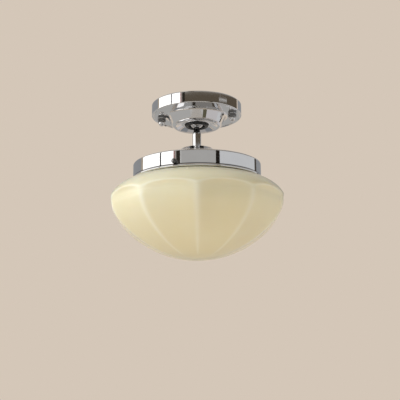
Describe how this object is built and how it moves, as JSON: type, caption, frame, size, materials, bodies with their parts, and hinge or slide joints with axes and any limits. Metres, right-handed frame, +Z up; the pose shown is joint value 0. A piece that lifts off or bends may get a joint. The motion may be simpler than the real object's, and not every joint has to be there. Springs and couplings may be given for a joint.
{
  "type": "ceiling light",
  "caption": "Chrome semi-flush ceiling light: round canopy with ball swivel, short stem, conical gallery with thumbscrews, and a panelled cream opal glass bowl over a screw-in bulb.",
  "frame": {"origin": "centre of the ceiling plane, on the upper face of the ceiling bracket", "axes": "+Z up into the ceiling along the stem's axis, -Y towards the viewer of the picture, +X right"},
  "size_m": [0.2022, 0.2062, 0.1863],
  "materials": {
    "polished_chrome": "polished chrome plate on spun and turned metal",
    "chrome_fasteners": "chrome plate on turned brass, knurled heads",
    "zinc_steel": "bright zinc plate",
    "black_nylon": "moulded black nylon, satin",
    "opal_glass": "cream cased opal glass, glossy outside",
    "holder_phenolic": "moulded black phenolic",
    "holder_ceramic": "unglazed white ceramic",
    "contact_brass": "bright brass",
    "block_plastic": "natural nylon",
    "bulb_aluminium": "drawn aluminium",
    "bulb_black_glass": "black vitrite glass",
    "bulb_opal": "white opal glass",
    "lead_brown": "brown insulated lead",
    "lead_blue": "blue insulated lead"
  },
  "bodies": {
    "ceiling_base": {"ceiling_bracket": "zinc_steel", "canopy_stud_1": "zinc_steel", "canopy_stud_2": "zinc_steel", "stud_lock_nut_1": "zinc_steel", "stud_lock_nut_2": "zinc_steel", "earth_washer": "contact_brass", "earth_screw": "contact_brass", "terminal_block": "block_plastic", "terminal_clamp_screws": "zinc_steel", "terminal_block_screw": "zinc_steel", "canopy": "polished_chrome", "cap_nut_washer_1": "zinc_steel", "cap_nut_washer_2": "zinc_steel", "supply_lead_live": "lead_brown", "supply_lead_neutral": "lead_blue"},
    "cap_nut_left": {"cap_nut_1": "chrome_fasteners"},
    "cap_nut_right": {"cap_nut_2": "chrome_fasteners"},
    "swivel_seat": {"seat_ring": "black_nylon"},
    "drop": {"swivel_ball": "polished_chrome", "lead_bushing": "black_nylon", "stem": "polished_chrome", "stem_collar": "polished_chrome", "gallery": "polished_chrome", "gallery_washer": "zinc_steel", "gallery_nut": "zinc_steel", "screw_boss_1": "contact_brass", "screw_boss_2": "contact_brass", "screw_boss_3": "contact_brass", "lampholder_cap": "holder_phenolic", "lampholder_skirt": "holder_phenolic", "lampholder_insert": "holder_ceramic", "lampholder_screws": "contact_brass", "lampholder_sleeve": "contact_brass", "lampholder_contact": "contact_brass", "drop_lead_live": "lead_brown", "drop_lead_neutral": "lead_blue"},
    "thumbscrew_front": {"thumbscrew_1": "chrome_fasteners"},
    "thumbscrew_right": {"thumbscrew_2": "chrome_fasteners"},
    "thumbscrew_back": {"thumbscrew_3": "chrome_fasteners"},
    "shade": {"glass_shade": "opal_glass"},
    "bulb": {"bulb_tip": "bulb_aluminium", "bulb_insulator": "bulb_black_glass", "bulb_cap": "bulb_aluminium", "bulb_globe": "bulb_opal"}
  },
  "joints": [
    {"name": "cap_nut_left_turn", "type": "hinge", "parent": "ceiling_base", "child": "cap_nut_left", "pos_m": [-0.04221, 0.00821, -0.017], "axis": [0, 0, 1], "continuous": true},
    {"name": "cap_nut_right_turn", "type": "hinge", "parent": "ceiling_base", "child": "cap_nut_right", "pos_m": [0.04221, -0.00821, -0.017], "axis": [0, 0, 1], "continuous": true},
    {"name": "swivel_pan", "type": "hinge", "parent": "ceiling_base", "child": "swivel_seat", "pos_m": [0, 0, -0.0177], "axis": [0, 0, 1], "range_deg": [-170, 170]},
    {"name": "swivel_tilt", "type": "hinge", "parent": "swivel_seat", "child": "drop", "pos_m": [0, 0, -0.0177], "axis": [1, 0, 0], "range_deg": [-20, 20]},
    {"name": "shade_lower", "type": "slide", "parent": "drop", "child": "shade", "axis": [0, 0, -1], "range_m": [0, 0.11]},
    {"name": "bulb_turn", "type": "hinge", "parent": "drop", "child": "bulb", "pos_m": [0, 0, -0.1], "axis": [0, 0, 1], "continuous": true},
    {"name": "thumbscrew_front_out", "type": "slide", "parent": "drop", "child": "thumbscrew_front", "axis": [-0.3173, -0.9483, 0], "range_m": [0, 0.0035]},
    {"name": "thumbscrew_right_out", "type": "slide", "parent": "drop", "child": "thumbscrew_right", "axis": [0.9799, 0.1994, 0], "range_m": [0, 0.0035]},
    {"name": "thumbscrew_back_out", "type": "slide", "parent": "drop", "child": "thumbscrew_back", "axis": [-0.6626, 0.749, 0], "range_m": [0, 0.0035]}
  ]
}
